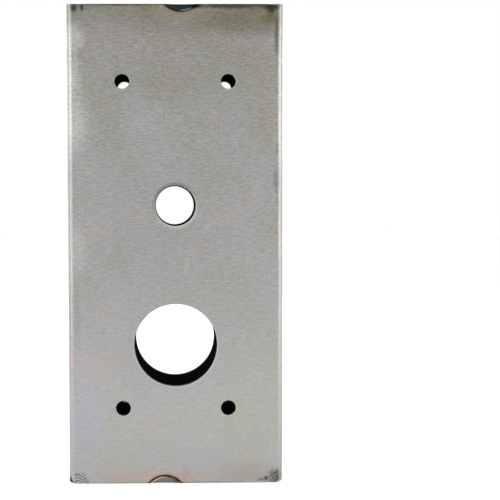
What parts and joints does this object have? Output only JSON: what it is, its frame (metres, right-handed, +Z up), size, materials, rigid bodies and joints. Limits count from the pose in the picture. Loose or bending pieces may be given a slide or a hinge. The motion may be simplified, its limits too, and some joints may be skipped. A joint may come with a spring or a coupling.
{
  "type": "weldable lock box",
  "caption": "Flat steel box to weld into a gate frame. Its face and back are bored for a lock, spindle and through bolts, and an edge has a window with tapped tabs for the latch.",
  "frame": {"origin": "middle of the lower end", "axes": "+Z up along the box, +X towards the wall with the latch window, -Y out of the face"},
  "size_m": [0.1396, 0.0444, 0.3112],
  "materials": {
    "bare_steel": "bare cold-rolled sheet with a fine crosswise grain and heat tint beside the welds",
    "tab_steel": "bare cold-rolled sheet, plain cut edges",
    "weld_metal": "oxide-darkened fusion bead",
    "dressed_weld": "weld ground flush"
  },
  "bodies": {
    "root": {"front_channel": "bare_steel", "back_channel": "bare_steel", "latch_tab_upper": "tab_steel", "latch_tab_lower": "tab_steel", "seam_welds": "weld_metal", "rear_corner_welds": "weld_metal", "front_corner_welds": "dressed_weld", "latch_tab_welds": "weld_metal"}
  },
  "joints": []
}
